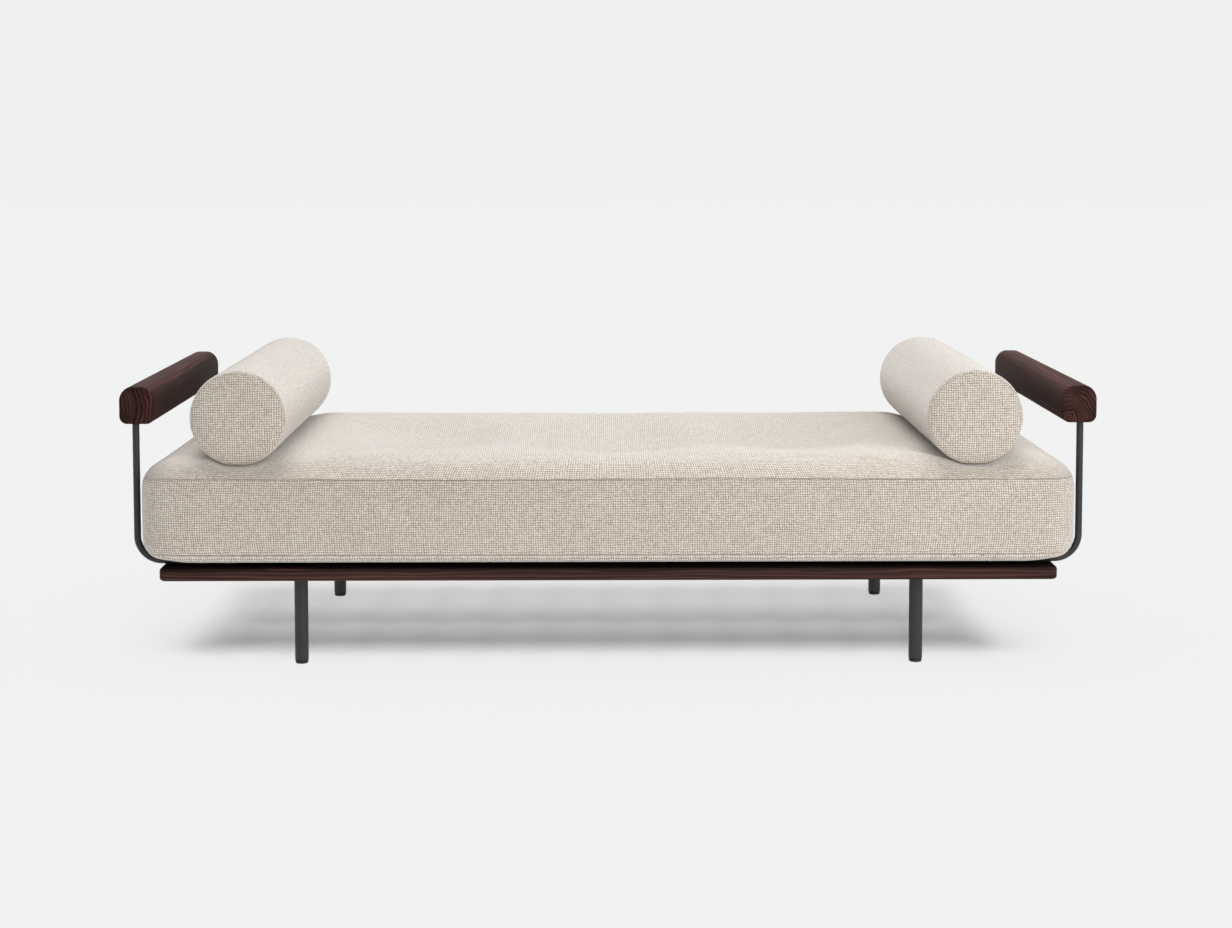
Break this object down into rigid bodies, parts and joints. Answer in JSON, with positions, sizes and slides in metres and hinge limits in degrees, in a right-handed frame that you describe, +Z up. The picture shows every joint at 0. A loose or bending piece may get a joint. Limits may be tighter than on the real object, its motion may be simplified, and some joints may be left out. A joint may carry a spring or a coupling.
{
  "type": "daybed",
  "caption": "Backless daybed: thin wooden base on steel tube legs, bent steel rods holding wooden armrests, thick woven mattress and loose round bolsters.",
  "frame": {"origin": "on the floor, under the middle of the daybed", "axes": "+X along the length to the right, +Y from the front to the back, +Z up"},
  "size_m": [1.98, 0.8, 0.6076],
  "materials": {
    "wenge": "satin",
    "slat_beech": "matte",
    "black_steel": "satin",
    "zinc_steel": "satin",
    "black_plastic": "matte",
    "woven_cover": "matte",
    "foam": "matte"
  },
  "bodies": {
    "frame": {"front_rail": "wenge", "rear_rail": "wenge", "left_end_rail": "wenge", "right_end_rail": "wenge", "centre_rail": "wenge", "slat_01": "slat_beech", "slat_02": "slat_beech", "slat_03": "slat_beech", "slat_04": "slat_beech", "slat_05": "slat_beech", "slat_06": "slat_beech", "slat_07": "slat_beech", "slat_08": "slat_beech", "slat_09": "slat_beech", "slat_10": "slat_beech", "slat_11": "slat_beech", "slat_12": "slat_beech", "slat_13": "slat_beech", "front_arm_rod": "black_steel", "rear_arm_rod": "black_steel", "front_rod_bolt_1": "zinc_steel", "front_rod_bolt_2": "zinc_steel", "front_rod_bolt_3": "zinc_steel", "front_rod_bolt_4": "zinc_steel", "rear_rod_bolt_1": "zinc_steel", "rear_rod_bolt_2": "zinc_steel", "rear_rod_bolt_3": "zinc_steel", "rear_rod_bolt_4": "zinc_steel", "left_armrest": "wenge", "right_armrest": "wenge", "sleeve_front_left": "zinc_steel", "sleeve_front_right": "zinc_steel", "sleeve_rear_left": "zinc_steel", "sleeve_rear_right": "zinc_steel", "leg_plate_front_left": "black_steel", "leg_plate_front_right": "black_steel", "leg_plate_rear_left": "black_steel", "leg_plate_rear_right": "black_steel", "leg_tube_front_left": "black_steel", "leg_tube_front_right": "black_steel", "leg_tube_rear_left": "black_steel", "leg_tube_rear_right": "black_steel", "leg_insert_front_left": "black_plastic", "leg_insert_front_right": "black_plastic", "leg_insert_rear_left": "black_plastic", "leg_insert_rear_right": "black_plastic"},
    "mattress": {"mattress_cover": "woven_cover", "mattress_core": "foam"},
    "left_bolster": {"left_bolster_cover": "woven_cover", "left_bolster_core": "foam"},
    "right_bolster": {"right_bolster_cover": "woven_cover", "right_bolster_core": "foam"},
    "foot_front_left": {"foot_stud_front_left": "zinc_steel", "foot_pad_front_left": "black_plastic"},
    "foot_front_right": {"foot_stud_front_right": "zinc_steel", "foot_pad_front_right": "black_plastic"},
    "foot_rear_left": {"foot_stud_rear_left": "zinc_steel", "foot_pad_rear_left": "black_plastic"},
    "foot_rear_right": {"foot_stud_rear_right": "zinc_steel", "foot_pad_rear_right": "black_plastic"}
  },
  "joints": [
    {"name": "mattress_slide", "type": "slide", "parent": "frame", "child": "mattress", "axis": [0, -1, 0], "range_m": [0, 0.36]},
    {"name": "left_bolster_lift", "type": "slide", "parent": "mattress", "child": "left_bolster", "axis": [0, 0, 1], "range_m": [0, 0.3]},
    {"name": "right_bolster_lift", "type": "slide", "parent": "mattress", "child": "right_bolster", "axis": [0, 0, 1], "range_m": [0, 0.3]},
    {"name": "foot_front_left_screw", "type": "slide", "parent": "frame", "child": "foot_front_left", "axis": [0, 0, -1], "range_m": [0, 0.012]},
    {"name": "foot_front_right_screw", "type": "slide", "parent": "frame", "child": "foot_front_right", "axis": [0, 0, -1], "range_m": [0, 0.012]},
    {"name": "foot_rear_left_screw", "type": "slide", "parent": "frame", "child": "foot_rear_left", "axis": [0, 0, -1], "range_m": [0, 0.012]},
    {"name": "foot_rear_right_screw", "type": "slide", "parent": "frame", "child": "foot_rear_right", "axis": [0, 0, -1], "range_m": [0, 0.012]}
  ]
}
